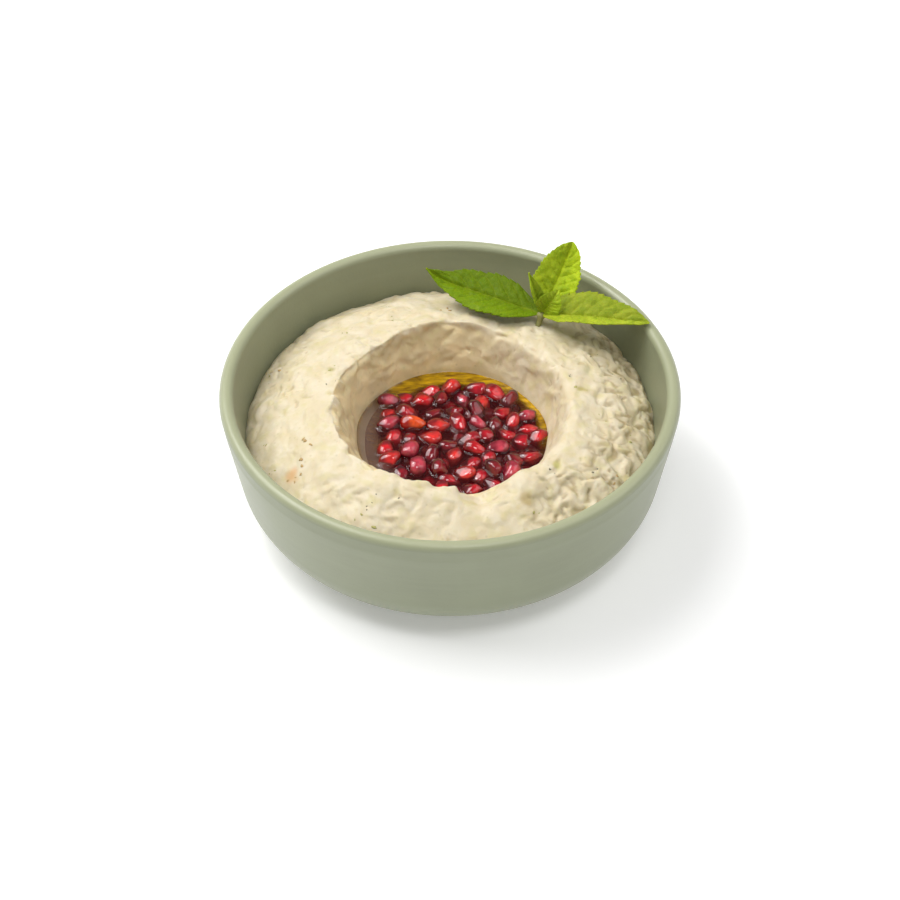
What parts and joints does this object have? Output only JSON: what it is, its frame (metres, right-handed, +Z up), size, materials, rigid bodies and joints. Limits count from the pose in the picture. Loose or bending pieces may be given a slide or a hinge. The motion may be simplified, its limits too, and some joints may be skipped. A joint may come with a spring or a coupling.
{
  "type": "bowl of baba ganoush",
  "caption": "Round stoneware bowl filled with aubergine dip, whose well holds olive oil and pomegranate seeds, with a mint sprig behind it.",
  "frame": {"origin": "centre of the foot ring's underside, which is the bottom centre of the bounding box", "axes": "+Z up through the bowl, +Y towards the mint sprig at the back, +X to the right when seen from the front"},
  "size_m": [0.16, 0.16, 0.0674],
  "materials": {
    "bowl": "sage green satin glaze",
    "dip": "moist cream coloured paste, soft sheen",
    "oil": "clear golden olive oil",
    "pomegranate": "wet translucent ruby seeds",
    "mint": "fresh crinkled green leaf"
  },
  "bodies": {
    "root": {"bowl": "bowl", "dip": "dip", "oil": "oil", "pomegranate_heap": "pomegranate", "mint_sprig": "mint"}
  },
  "joints": []
}
